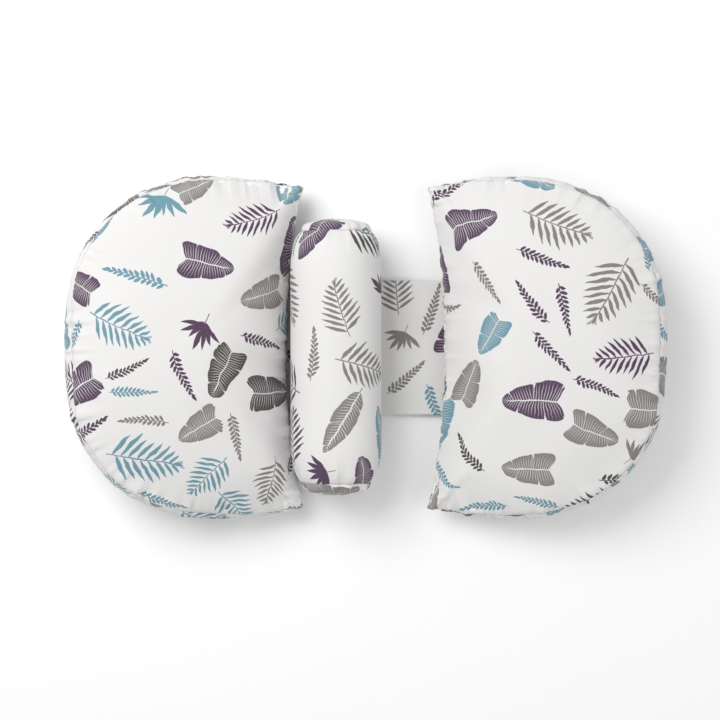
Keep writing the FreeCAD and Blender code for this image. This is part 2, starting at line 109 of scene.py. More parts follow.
SEAM_GATHER = 0.03  # how much the seams are shorter than the cloth sewn into them
REST_ON_FLOOR = 16 * MM  # how much of an inflated cushion is pressed flat below
FLOOR_SOFTNESS = 2 * MM  # how rounded the start of that flat part is
BOLSTER_FLOOR_SOFTNESS = 1.5 * MM

# The cushions: sizes read from the CAD model, or chosen to match it
SEAM_HEIGHT = float(box_of("left_top_panel")[0][2])
LOWER_RUN = 60 * MM
EDGE_SAG = 21 * MM
FLAT_BOW = 0.35  # the share of that sag that is cut into the cloth
SIDE_REACH = 75 * MM  # how far the cloth follows the straight side's seam
GUSSET_LOW = 14 * MM
GUSSET_HIGH = 106 * MM
GUSSET_SETBACK = 26 * MM
CENTRE_SHARE = 0.55  # how far across a cushion the middle that it is fitted round lies
ZIP_INSET = 34 * MM
ZIP_TAPE = 20 * MM
ZIP_OPENING = extent("left_zipper_tapes", 1)
ZIP_BLEND = 16 * MM  # how far round the zip the cloth is drawn to its place
UNDERSIDE_ROUNDING = 46 * MM  # how far in from its seam the underside curves up
SLOPE_BLEND = 30 * MM  # how softly the slope to the strap meets that curve
SLOPE_END = 0.42 * ZIP_OPENING  # where along Y the slope starts to give way to it
RIPPLE = 0.5 * MM
RIPPLE_TURNS = 45  # a metre

# The bolster and its zip
BOLSTER_RADIUS = extent("bolster_sleeve", 2) / 2
BOLSTER_END_DEPTH = extent("bolster_back_end_panel", 1)
BOLSTER_ZIP_TURN = math.radians(60)
BOLSTER_ZIP_OPENING = extent("bolster_zipper_tapes", 1)
# The sleeve's own seam runs along the bottom; flat X runs round from there, over the top.
BOLSTER_ZIP_SPOT = (2 * math.pi - BOLSTER_ZIP_TURN) * BOLSTER_RADIUS
BOLSTER_ZIP_BLEND = 22 * MM
BOLSTER_TAPER = 0.17  # how much slimmer the ends are
BOLSTER_TAPER_RUN = 45 * MM
BOLSTER_PRESSED = (6 * MM, 0, 3 * MM)  # how much of it is pressed in, by the cushion and the strap
BOLSTER_CLEARANCE = 0.8 * MM  # from the cushion
PRESS_REACH = 30 * MM  # how near the cushion has to be to press it

# The strap
SHEET_CELL = 2.5 * MM
SHEET_SHARE = 0.9  # a layer's thickness as a share of its CAD node's
SEWN_ON = 2.4 * MM  # how far it runs on past its CAD node, onto each cushion
FREE_START, FREE_END = 24 * MM, 106 * MM  # the stretch along X where it may lie in waves
FREE_BLEND = 14 * MM
WAVE_RISE, WAVE_SWING = 1.2, 1.6  # millimetres
WAVES_X, WAVES_Y = 14, 10  # a metre
HEM_INSET, HEM_WIDTH, HEM_DEPTH = 6 * MM, 1.3 * MM, 0.22 * MM
CURL_DEPTH, CURL_RUN = 0.35 * MM, 3 * MM

SKIN_NODES = ("top_panel", "gusset", "bottom_panel")

# The studio
FRAME_WIDTH = 835 * MM  # what the camera sees, across
FRAME_SHIFT = (-6.5 * MM, -14.5 * MM)  # how far off the pillow's middle it is aimed
LENS = 85
SKY_STRENGTH = 0.55
LIGHTS = (  # name, place, watts and width
    ("key", (-0.9, 0.8, 1.6), 27, 1.2),
    ("fill", (1.2, -0.5, 1.5), 7, 1.4),
)


# --- Shapes from the CAD model


def along_path(path, spacing):
    """Points evenly spaced along an open path, its two ends among them."""
    steps = np.linalg.norm(np.diff(path, axis=0), axis=1)
    travelled = np.concatenate(([0], np.cumsum(steps)))
    count = max(2, int(round(travelled[-1] / spacing)) + 1)
    wanted = np.linspace(0, travelled[-1], count)
    return np.stack([np.interp(wanted, travelled, path[:, k]) for k in range(2)], axis=1)


def curved_edge(low, high):
    """The cushion's curved edge seen from above, from its back corner round to its front one."""
    plan = node_points(*(f"left_{node}" for node in SKIN_NODES))[:, :2]
    hull = plan[convex_hull_2d([Vector(p) for p in plan])]
    hull = hull[hull[:, 0] < high[0] - 0.3 * MM]
    turn = np.arctan2(hull[:, 1], (low[0] + high[0]) / 2 - hull[:, 0])
    hull = hull[np.argsort(-turn)]
    back, front = (high[0], hull[0, 1]), (high[0], hull[-1, 1])
    return np.vstack([back, hull, front])


# --- Cloth cut flat, then sewn together


def inside(points, outline):
    """Which points lie inside a closed outline."""
    start, end = outline, np.roll(outline, -1, axis=0)
    x, y = points[:, 0, None], points[:, 1, None]
    rise = np.where(end[:, 1] == start[:, 1], 1e-12, end[:, 1] - start[:, 1])
    across = start[:, 0] + (y - start[:, 1]) * (end[:, 0] - start[:, 0]) / rise
    crossed = ((start[:, 1] > y) != (end[:, 1] > y)) & (x < across)
    return crossed.sum(1) % 2 == 1


def tree_of(spots):
    """A search tree of places, numbered in their order."""
    tree = KDTree(len(spots))
    for number, spot in enumerate(spots):
        tree.insert(spot, number)
    tree.balance()
    return tree


def distance_to(points, path):
    """Each point's distance to the nearest point of a path."""
    tree = tree_of([(spot[0], spot[1], 0) for spot in path])
    return np.array([tree.find((p[0], p[1], 0))[2] for p in points])


def cut_cloth(outline, seed, slot=None):
    """A flat piece of cloth: triangles of one size inside an outline, whose points come first.

    slot is the outline of a zip opening, whose edges become edges of the cloth too.
    """
    rng = np.random.default_rng(seed)
    low, high = outline.min(0), outline.max(0)
    row_step = CLOTH_CELL * math.sqrt(3) / 2
    rows = np.arange(low[1], high[1], row_step)
    spots = []
    for index, y in enumerate(rows):
        shift = CLOTH_CELL / 2 * (index % 2)
        for x in np.arange(low[0] + shift, high[0], CLOTH_CELL):
            spots.append((x, y))
    spots = np.array(spots) + rng.uniform(-CELL_JITTER, CELL_JITTER, (len(spots), 2)) * CLOTH_CELL
    spots = spots[inside(spots, outline)]
    spots = spots[distance_to(spots, outline) > EDGE_CLEARANCE * CLOTH_CELL]
    points, edges = [outline], []
    if slot is not None:
        spots = spots[distance_to(spots, slot) > EDGE_CLEARANCE * CLOTH_CELL]
        first = len(outline)
        edges = [(first + i, first + (i + 1) % len(slot)) for i in range(len(slot))]
        points.append(slot)
    points = np.vstack([*points, spots])
    loop = list(range(len(outline)))
    made = delaunay_2d_cdt([Vector(p) for p in points], edges, [loop], 1, 1e-7)
    return np.array([tuple(p) for p in made[0]]), [list(face) for face in made[2]]


class Sewing:
    """Pieces of cloth joined where their points meet, as one closed surface."""

    def __init__(self):
        self.points = []
        self.index = {}
        self.pieces = {}

    def add(self, name, flat, faces, spots):
        """Adds one piece: its flat points, its faces, and where the points lie in space."""
        own = []
        for spot in spots:
            key = tuple(np.round(spot / (0.01 * MM)).astype(int))
            if key not in self.index:
                self.index[key] = len(self.points)
                self.points.append(spot)
            own.append(self.index[key])
        self.pieces[name] = {"flat": flat, "faces": faces, "own": np.array(own)}

    def faces(self):
        """Every face, by the numbers of the joined points."""
        for piece in self.pieces.values():
            for face in piece["faces"]:
                yield [int(piece["own"][corner]) for corner in face]

    def seams(self):
        """The points that belong to more than one piece."""
        seen = {}
        for name, piece in self.pieces.items():
            for index in set(piece["own"].tolist()):
                seen.setdefault(index, set()).add(name)
        return sorted(index for index, names in seen.items() if len(names) > 1)


def rectangle_path(low_x, high_x, low_y, high_y):
    """Evenly spaced points round a rectangle, closed."""
    corners = [(low_x, low_y), (high_x, low_y), (high_x, high_y), (low_x, high_y)]
    sides = []
    for start, end in zip(corners, corners[1:] + corners[:1]):
        side = along_path(np.array([start, end]), CLOTH_CELL)
        sides.append(side[:-1])
    return np.vstack(sides)


def cushion_slot():
    """The outline of the left cushion's zip opening, seen from above."""
    corner_x = box_of("left_top_panel")[1][0]
    half = ZIP_TAPE / 2 * math.cos(math.atan2(SEAM_HEIGHT, LOWER_RUN))
    middle = corner_x - ZIP_INSET
    return rectangle_path(middle - half, middle + half, -ZIP_OPENING / 2, ZIP_OPENING / 2)


def sew_cushion(low, high, seed):
    """The left cushion's case before it is stuffed: two flat panels and a tapering band."""
    arc = along_path(curved_edge(low, high), CLOTH_CELL)
    front, back = arc[-1], arc[0]
    straight = along_path(np.array([front, back]), CLOTH_CELL)[1:-1]
    bow = 1 - (straight[:, 1] / back[1]) ** 2
    straight[:, 0] -= FLAT_BOW * EDGE_SAG * bow
    outline = np.vstack([arc, straight])
    depth = high[0] - low[0]

    def share(points):
        return np.clip((high[0] - points[:, 0]) / depth, 0, 1)

    def top_height(points):
        return SEAM_HEIGHT + (GUSSET_HIGH - SEAM_HEIGHT) * share(points)

    def low_height(points):
        return SEAM_HEIGHT - (SEAM_HEIGHT - GUSSET_LOW) * share(points)

    sewing = Sewing()
    tall = np.flatnonzero(top_height(arc) - low_height(arc) > SHORTEST_BAND * CLOTH_CELL)
    first, last = tall[0], tall[-1]
    for name, height, slot, jitter in (
        ("top_panel", top_height, None, seed),
        ("bottom_panel", low_height, cushion_slot(), seed + 2),
    ):
        flat, faces = cut_cloth(outline, jitter, slot)
        z = height(flat)
        order = np.arange(len(flat))
        closed = (order < first) | ((order > last) & (order < len(outline)))
        z[closed] = SEAM_HEIGHT
        sewing.add(name, flat, faces, np.column_stack([flat, z]))
    # The band runs out to a point at each end, where its two seams meet.
    band = arc[first - 1 : last + 2]
    run = np.concatenate(([0], np.cumsum(np.linalg.norm(np.diff(band, axis=0), axis=1))))
    upper = np.column_stack([run, top_height(band)])
    lower = np.column_stack([run, low_height(band)])
    lower[[0, -1], 1] = SEAM_HEIGHT
    flat, faces = cut_cloth(np.vstack([lower, upper[-2:0:-1]]), seed + 1)
    x = np.interp(flat[:, 0], run, band[:, 0])
    y = np.interp(flat[:, 0], run, band[:, 1])
    sewing.add("gusset", flat, faces, np.column_stack([x, y, flat[:, 1]]))
    return sewing


def bolster_slot():
    """The outline of the bolster's zip opening, on the flat sleeve."""
    half_width, half_length = ZIP_TAPE / 2, BOLSTER_ZIP_OPENING / 2
    left, right = BOLSTER_ZIP_SPOT - half_width, BOLSTER_ZIP_SPOT + half_width
    return rectangle_path(left, right, -half_length, half_length)


def sew_bolster(low, high, seed):
    """The bolster's case before it is stuffed: a tube along Y and two round ends."""
    centre = (low + high) / 2
    girth = 2 * math.pi * BOLSTER_RADIUS
    ring = int(round(girth / CLOTH_CELL))
    half = (high[1] - low[1]) / 2 - BOLSTER_END_DEPTH
    side = along_path(np.array([(0, -half), (0, half)]), CLOTH_CELL)
    ends = np.linspace(0, girth, ring + 1)
    front = np.column_stack([ends[1:-1], np.full(ring - 1, -half)])
    back = np.column_stack([ends[1:-1], np.full(ring - 1, half)])
    right = side + (girth, 0)
    outline = np.vstack([side[::-1], front, right, back[::-1]])
    flat, faces = cut_cloth(outline, seed, bolster_slot())
    turn = flat[:, 0] / BOLSTER_RADIUS + math.pi

    def round_tube(turn, radius, y):
        x, z = centre[0] + radius * np.sin(turn), centre[2] + radius * np.cos(turn)
        return np.column_stack([x, centre[1] + y, z])

    sewing = Sewing()
    sewing.add("sleeve", flat, faces, round_tube(turn, BOLSTER_RADIUS, flat[:, 1]))
    angles = ends[:-1] / BOLSTER_RADIUS + math.pi
    disc = np.column_stack([np.sin(angles), np.cos(angles)]) * BOLSTER_RADIUS
    for name, y in (("front_end_panel", -half), ("back_end_panel", half)):
        flat, faces = cut_cloth(disc, seed + 1)
        spots = np.column_stack(
            [centre[0] + flat[:, 0], np.full(len(flat), centre[1] + y), centre[2] + flat[:, 1]]
        )
        sewing.add(name, flat, faces, spots)
    return sewing


# --- Stuffing by cloth simulation


def mesh_object(name, points, faces):
    """A new mesh object in the scene."""
    mesh = bpy.data.meshes.new(name)
    mesh.from_pydata([tuple(p) for p in points], [], faces)
    made = bpy.data.objects.new(name, mesh)
    bpy.context.scene.collection.objects.link(made)
    return made


def plain_mesh(name, points, faces):
    """A mesh object whose faces all look outwards."""
    made = mesh_object(name, points, faces)
    rebuilt = bmesh.new()
    rebuilt.from_mesh(made.data)
    bmesh.ops.recalc_face_normals(rebuilt, faces=rebuilt.faces)
    rebuilt.to_mesh(made.data)
    rebuilt.free()
    return made


def discard(obj):
    """Removes an object and its mesh."""
    mesh = obj.data
    bpy.data.objects.remove(obj)
    bpy.data.meshes.remove(mesh)


def keep_cut(mesh, flat, faces):
    """Keeps the flat cut of a piece of cloth as a UV map."""
    cut = mesh.uv_layers.new(name="Cut")
    corners = np.array([corner for face in faces for corner in face])
    cut.data.foreach_set("uv", flat[corners].astype(np.float32).ravel())


def mesh_points(mesh):
    """A mesh's vertices as an array."""
    flat = np.zeros(len(mesh.vertices) * 3)
    mesh.vertices.foreach_get("co", flat)
    return flat.reshape(-1, 3)


def evaluated_points(obj):
    """Where an object's vertices are once its modifiers have run."""
    graph = bpy.context.evaluated_depsgraph_get()
    shown = obj.evaluated_get(graph)
    mesh = shown.to_mesh()
    points = mesh_points(mesh)
    shown.to_mesh_clear()
    return points


FABRIC = {
    "quality": 6,
    "mass": 0.15,
    "air_damping": 2.0,
    "tension_stiffness": 30,
    "compression_stiffness": 12,
    "shear_stiffness": 6,
    "bending_stiffness": 0.6,
    "tension_damping": 15,
    "compression_damping": 15,
    "shear_damping": 8,
    "use_pressure": True,
    "shrink_max": SEAM_GATHER,
}


def stuff(sewing, pressure):
    """Inflates a sewn case, its seams gathered, and gives where its points end up."""
    obj = plain_mesh("case_being_stuffed", sewing.points, list(sewing.faces()))
    seams = obj.vertex_groups.new(name="seams")
    seams.add(sewing.seams(), 1.0, "REPLACE")
    fabric = obj.modifiers.new("Cloth", "CLOTH").settings
    for setting, value in FABRIC.items():
        setattr(fabric, setting, value)
    fabric.uniform_pressure_force = pressure
    fabric.vertex_group_shrink = seams.name
    fabric.effector_weights.gravity = 0
    scene = bpy.context.scene
    scene.frame_start, scene.frame_end = 1, FRAMES
    for step in range(1, FRAMES + 1):
        scene.frame_set(step)
    points = evaluated_points(obj)
    scene.frame_set(1)
    discard(obj)
    return points


def smoothed(points, faces, seams, rounds):
    """Points eased towards their neighbours, those on a seam only along it."""
    corners = np.array(faces)
    edges = np.vstack([corners[:, [0, 1]], corners[:, [1, 2]], corners[:, [2, 0]]])
    edges = np.unique(np.sort(edges, axis=1), axis=0)
    both = np.vstack([edges, edges[:, ::-1]])
    on_seam = np.zeros(len(points), bool)
    on_seam[seams] = True
    both = both[~on_seam[both[:, 0]] | on_seam[both[:, 1]]]
    count = np.bincount(both[:, 0], minlength=len(points))[:, None]
    for _ in range(rounds):
        total = np.zeros_like(points)
        np.add.at(total, both[:, 0], points[both[:, 1]])
        points = (points + total / count) / 2
    return points


def fit_box(points, low, high):
    """Points scaled along each axis to fill a box."""
    lowest, highest = points.min(0), points.max(0)
    return low + (points - lowest) / (highest - lowest) * (high - low)


def ease(value):
    """A smooth step from 0 to 1."""
    value = np.clip(value, 0, 1)
    return value * value * (3 - 2 * value)


def soft_floor(z, floor, softness):
    """Heights kept above a floor, with a rounded start to the flat part."""
    above = z - floor
    return floor + (above + np.sqrt(above**2 + softness**2)) / 2


def fit_plan(points, outline, centre):
    """Points moved out or in round a centre, so that their outline from above is a given one."""
    bins = 120

    def reach(plan):
        spokes = plan - centre
        turn = np.arctan2(spokes[:, 1], spokes[:, 0])
        length = np.linalg.norm(spokes, axis=1)
        slot = np.floor((turn + math.pi) / (2 * math.pi) * bins).astype(int) % bins
        furthest = np.zeros(bins)
        np.maximum.at(furthest, slot, length)
        return furthest, turn, slot

    found, turn, _ = reach(points[:, :2])
    wanted, _, _ = reach(outline)
    factor = wanted / found
    around = np.arange(-2, 3)
    weights = np.array([1, 2, 3, 2, 1]) / 9
    smooth = sum(w * np.roll(factor, shift) for w, shift in zip(weights, around))
    middles = (np.arange(bins) + 0.5) / bins * 2 * math.pi - math.pi
    each = np.interp(turn, middles, smooth, period=2 * math.pi)
    fitted = points.copy()
    fitted[:, :2] = centre + (points[:, :2] - centre) * each[:, None]
    return fitted


def cushion_outline(low, high):
    """The cushion's whole edge seen from above, finely spaced, its straight side pulled in."""
    arc = along_path(curved_edge(low, high), 1 * MM)
    straight = along_path(np.array([arc[-1], arc[0]]), 1 * MM)
    straight[:, 0] -= EDGE_SAG * (1 - (straight[:, 1] / arc[0, 1]) ** 2)
    return np.vstack([arc, straight])


def lay_cushion(sewing, points, low, high):
    """A stuffed cushion lying on the floor, its underside shaped for the zip and the strap."""
    sunk = low - (0, 0, REST_ON_FLOOR)
    points = fit_box(points, sunk, high)
    centre = np.array([low[0] * (1 - CENTRE_SHARE) + high[0] * CENTRE_SHARE, 0])
    points = fit_plan(points, cushion_outline(low, high), centre)
    points = fit_box(points, sunk, high)
    points = settle_side(sewing, points, low, high)
    points[:, 2] = soft_floor(points[:, 2], 0, FLOOR_SOFTNESS)
    return lay_underside(sewing, points, high)


def settle_side(sewing, points, low, high):
    """The straight side's seam at its own height and bow, the cloth near it brought along."""
    corner_y = curved_edge(low, high)[0, 1]
    piece = sewing.pieces["top_panel"]
    flat_of = {int(index): flat for index, flat in zip(piece["own"], piece["flat"])}
    start = high[0] - LOWER_RUN
    held = [i for i in sewing.seams() if i in flat_of and flat_of[i][0] > start]
    tree = tree_of([points[index] for index in held])
    moves = []
    for index in held:
        x, y = flat_of[index]
        bow = max(0, 1 - (y / corner_y) ** 2)
        wanted = np.array([x - (1 - FLAT_BOW) * EDGE_SAG * bow, y, SEAM_HEIGHT])
        moves.append((wanted - points[index]) * ease((x - start) / (LOWER_RUN - GUSSET_SETBACK)))
    settled = points.copy()
    for index, spot in enumerate(points):
        found = tree.find_n(spot, 5)
        nearest = found[0][2]
        if nearest > SIDE_REACH:
            continue
        weights = np.array([1 / (gap + 0.1 * MM) ** 2 for _, _, gap in found])
        move = sum(w * moves[number] for w, (_, number, _) in zip(weights, found))
        settled[index] += move / weights.sum() * ease(1 - nearest / SIDE_REACH)
    return settled


def underside_height(x, y, corner_x, near_zip, seam_z, gap):
    """How high the bottom panel is at one place, a gap away from its nearest seam."""
    sloped = max((LOWER_RUN - (corner_x - x)) * SEAM_HEIGHT / LOWER_RUN, 0.0)
    turned = max(0.0, 1 - gap / UNDERSIDE_ROUNDING)
    bulge = seam_z * (1 - math.sqrt(max(0.0, 1 - turned**2)))
    ripple = RIPPLE * noise.noise(Vector((x, y, 0)) * RIPPLE_TURNS) * (1 - near_zip)
    rounded = max(bulge + ripple, sloped)
    curved_side = ease((corner_x - x - LOWER_RUN) / SLOPE_BLEND)
    end = ease((abs(y) - SLOPE_END) / SLOPE_BLEND)
    height = sloped + (rounded - sloped) * max(curved_side, end)
    return max(height * (1 - near_zip) + sloped * near_zip, 0)


def lay_underside(sewing, points, high):
    """The bottom panel flat on the floor, rounded up to its seam and sloped up to the strap."""
    piece = sewing.pieces["bottom_panel"]
    seams = set(sewing.seams())
    flat_of = {int(index): flat for index, flat in zip(piece["own"], piece["flat"])}
    rim = [index for index in piece["own"] if int(index) in seams]
    tree = tree_of([(points[index, 0], points[index, 1], 0) for index in rim])
    slot = cushion_slot()
    slot_low, slot_high = slot.min(0), slot.max(0)
    for index in sorted(set(flat_of) - seams):
        wanted = flat_of[index]
        away = np.maximum(np.maximum(slot_low - wanted, wanted - slot_high), 0)
        near_zip = ease(1 - np.linalg.norm(away) / ZIP_BLEND)
        x, y = points[index, :2] * (1 - near_zip) + wanted * near_zip
        _, number, gap = tree.find((x, y, 0))
        seam_z = points[rim[number], 2]
        points[index] = (x, y, underside_height(x, y, high[0], near_zip, seam_z, gap))
    return points


def sink_seams(points, faces, seams, depth):
    """Points with the seams pulled in a little, and their neighbours less."""
    mesh = bpy.data.meshes.new("seam_work")
    mesh.from_pydata([tuple(p) for p in points], [], faces)
    work = bmesh.new()
    work.from_mesh(mesh)
    bmesh.ops.recalc_face_normals(work, faces=work.faces)
    work.verts.ensure_lookup_table()
    work.normal_update()
    moved = points.copy()
    held = set(seams)
    for index in seams:
        vert = work.verts[index]
        moved[index] -= np.array(vert.normal) * depth
        for edge in vert.link_edges:
            other = edge.other_vert(vert)
            if other.index not in held:
                moved[other.index] -= np.array(other.normal) * depth * SINK_BESIDE
    work.free()
    bpy.data.meshes.remove(mesh)
    return moved


# --- Pieces of cloth as finished meshes


def with_modifiers(obj):
    """Applies an object's modifiers to its mesh."""
    graph = bpy.context.evaluated_depsgraph_get()
    mesh = bpy.data.meshes.new_from_object(obj.evaluated_get(graph))
    old = obj.data
    obj.modifiers.clear()
    obj.data = mesh
    bpy.data.meshes.remove(old)


def cloth_piece(name, sewing, part, points, skip=None):
    """One piece of a sewn case, smoothed, with its flat cut kept as a UV map.

    skip is the outline of an opening in it, on the flat cut.
    """
    piece = sewing.pieces[part]
    faces = piece["faces"]
    if skip is not None:
        centres = np.array([piece["flat"][face].mean(0) for face in faces])
        gone = inside(centres, skip)
        faces = [face for face, out in zip(faces, gone) if not out]
    used = sorted({int(piece["own"][corner]) for face in faces for corner in face})
    number = {index: k for k, index in enumerate(used)}
    joined = [[number[int(piece["own"][corner])] for corner in face] for face in faces]
    made = mesh_object(name, [points[i] for i in used], joined)
    keep_cut(made.data, piece["flat"], faces)
    outward(made, points.mean(0))
    smooth = made.modifiers.new("Smooth", "SUBSURF")
    smooth.levels = smooth.render_levels = 1
    with_modifiers(made)
    pucker(made, [points[i] for i in sewing.seams() if i in number])
    return made


def pucker(obj, seam_spots):
    """Small gathers in the cloth, running straight away from its seams."""
    tree = tree_of(seam_spots)
    moves = []
    for vert in obj.data.vertices:
        found = tree.find_n(vert.co, 3)
        weights = [1 / (gap + 0.2 * MM) for _, _, gap in found]
        beside = sum((w * spot for w, (spot, _, _) in zip(weights, found)), Vector())
        beside /= sum(weights)
        away = found[0][2] / PUCKER_REACH
        strength = away * math.exp(1 - away)
        height = noise.noise(beside / PUCKER_WAVE) * PUCKER_HEIGHT * strength
        moves.append(vert.normal * height)
    for vert, move in zip(obj.data.vertices, moves):
        vert.co += move


def outward(obj, centre):
    """Turns a mesh's faces to look away from a point."""
    work = bmesh.new()
    work.from_mesh(obj.data)
    away = 0
    for face in work.faces:
        face.normal_update()
        away += face.normal.dot(face.calc_center_median() - Vector(centre)) * face.calc_area()
    if away < 0:
        bmesh.ops.reverse_faces(work, faces=work.faces)
    work.to_mesh(obj.data)
    work.free()


def thicken(obj, thickness):
    """Gives cloth its thickness, inwards."""
    solid = obj.modifiers.new("Thickness", "SOLIDIFY")
    solid.thickness = thickness
    solid.offset = -1
    with_modifiers(obj)
    obj.data.shade_smooth()


def inner_piece(name, sewing, points, depth):
    """A closed piece inside a case, a depth in from it all round."""
    low, high = points.min(0), points.max(0)
    centre = (low + high) / 2
    scale = 1 - 2 * depth / (high - low)
    obj = plain_mesh(name, centre + (points - centre) * scale, list(sewing.faces()))
    obj.data.shade_smooth()
    return obj


# --- The printed pattern: generic leaves, scattered

CHARCOAL = (0.055, 0.047, 0.046)
GREY = (0.2, 0.185, 0.178)
BLUE = (0.125, 0.27, 0.34)
PLUM = (0.07, 0.028, 0.075)
INKS = (CHARCOAL, GREY, BLUE, PLUM)

# Each kind of leaf: which drawing it is, and the numbers that shape it.
FROND, BROAD, TUFT = 0, 1, 2
KINDS = {
    "frond": (FROND, 0.40, 9.0, 0.30),
    "sprig": (FROND, 0.13, 11.0, 0.40),
    "monstera": (BROAD, 0.42, -0.55, 1.5),
    "banana": (BROAD, 0.20, 0.35, 0.5),
    "tuft": (TUFT, 0.1, 7.0, 2.6),
}
# How wide a leaf's own ground is, as a share of its length.
GROUND = {"frond": 0.36, "sprig": 0.17, "monstera": 0.52, "banana": 0.2, "tuft": 0.75}

# Each kind's length in millimetres, and how many of it there are for every one of the others.
LENGTH = {"frond": 70, "sprig": 60, "monstera": 55, "banana": 80, "tuft": 35}
SHARE = {"frond": 5, "sprig": 4, "monstera": 5, "banana": 1, "tuft": 1}
LENGTH_SPREAD = (0.8, 1.15)
LEAF_GAP = 4.5 * MM
DISCS = 5  # that stand for a leaf's ground
DISC_SHARE = 0.8  # their radius, as a share of the ground's width
TRIES = 1500  # leaves tried on one piece of cloth


def cut_corners(mesh):
    """Each corner's place on the flat cut, the face that it is on, and each face's middle."""
    uv = np.zeros(len(mesh.loops) * 2)
    mesh.uv_layers["Cut"].data.foreach_get("uv", uv)
    uv = uv.reshape(-1, 2)
    totals = np.zeros(len(mesh.polygons), int)
    mesh.polygons.foreach_get("loop_total", totals)
    owner = np.repeat(np.arange(len(totals)), totals)
    middles = np.zeros((len(totals), 2))
    np.add.at(middles, owner, uv)
    return uv, owner, middles / totals[:, None]


class Print:
    """The leaves on one piece of cloth, in the metres of its flat cut."""

    def __init__(self, seed):
        self.leaves = []
        self.grounds = []
        self.rng = random.Random(seed)

    def discs(self, kind, middle, angle, length):
        """A leaf's ground as discs along it: their centres and radius."""
        radius = length * GROUND[kind] * DISC_SHARE
        reach = max(length / 2 - radius, 0)
        direction = np.array([math.cos(angle), math.sin(angle)])
        return np.array(middle) + np.linspace(-reach, reach, DISCS)[:, None] * direction, radius

    def clear_of(self, spots, radius):
        """Whether a leaf there would keep off the ones already printed."""
        for other, other_radius in self.grounds:
            gaps = np.linalg.norm(spots[:, None] - other[None], axis=2)
            if gaps.min() < radius + other_radius + LEAF_GAP:
                return False
        return True

    def fill(self, low, high):
        """Leaves scattered over a rectangle, turned every way, none over another."""
        kinds = [kind for kind, share in SHARE.items() for _ in range(share)]
        for _ in range(TRIES):
            kind = self.rng.choice(kinds)
            length = LENGTH[kind] * MM * self.rng.uniform(*LENGTH_SPREAD)
            middle = [self.rng.uniform(low[k], high[k]) for k in range(2)]
            angle = math.radians(self.rng.uniform(0, 360))
            ink = self.rng.choice(INKS)
            spots, radius = self.discs(kind, middle, angle, length)
            if self.clear_of(spots, radius):
                self.grounds.append((spots, radius))
                self.leaves.append((kind, ink, middle, angle, length))

    def nearest(self, middles):
        """The number of the leaf whose ground is nearest to each place."""
        best = np.full(len(middles), np.inf)
        chosen = np.zeros(len(middles), int)
        for index, (spots, radius) in enumerate(self.grounds):
            gaps = np.linalg.norm(middles[:, None] - spots[None], axis=2)
            away = gaps.min(1) - radius
            closer = away < best
            best[closer] = away[closer]
            chosen[closer] = index
        return chosen

    def apply(self, obj):
        """Writes each face's nearest leaf, and where the face lies on that leaf."""
        mesh = obj.data
        uv, owner, middles = cut_corners(mesh)
        chosen = self.nearest(middles)
        place = np.zeros((len(uv), 3), np.float32)
        shape = np.zeros((len(chosen), 3), np.float32)
        ink = np.ones((len(chosen), 4), np.float32)
        seeds = np.zeros(len(chosen), np.float32)
        of_corner = chosen[owner]
        for index, (kind, colour, spot, angle, length) in enumerate(self.leaves):
            mine = of_corner == index
            turned = self.turned(uv[mine], spot, angle) / length
            place[mine, 0] = turned[:, 0] + 0.5
            place[mine, 1] = turned[:, 1]
            place[mine, 2] = KINDS[kind][0]
            faces = chosen == index
            shape[faces] = KINDS[kind][1:]
            ink[faces, :3] = colour
            seeds[faces] = index * 1.37 + 0.5
        self.write(mesh, "leaf_place", "FLOAT_VECTOR", "CORNER", "vector", place)
        self.write(mesh, "leaf_shape", "FLOAT_VECTOR", "FACE", "vector", shape)
        self.write(mesh, "leaf_ink", "FLOAT_COLOR", "FACE", "color", ink)
        self.write(mesh, "leaf_seed", "FLOAT", "FACE", "value", seeds)

    @staticmethod
    def turned(points, spot, angle):
        """Points in a leaf's own directions: along it, and across it."""
        x, y = points[:, 0] - spot[0], points[:, 1] - spot[1]
        cosine, sine = math.cos(angle), math.sin(angle)
        return np.column_stack([x * cosine + y * sine, y * cosine - x * sine])

    @staticmethod
    def write(mesh, name, kind, domain, field, values):
        """Stores values on a mesh as an attribute."""
        layer = mesh.attributes.new(name, kind, domain)
        layer.data.foreach_set(field, np.ascontiguousarray(values, np.float32).ravel())


def printed(sewing, part, seed):
    """The print of one piece of a sewn case."""
    leaves = Print(seed)
    flat = sewing.pieces[part]["flat"]
    leaves.fill(flat.min(0), flat.max(0))
    return leaves


# --- Shader arithmetic


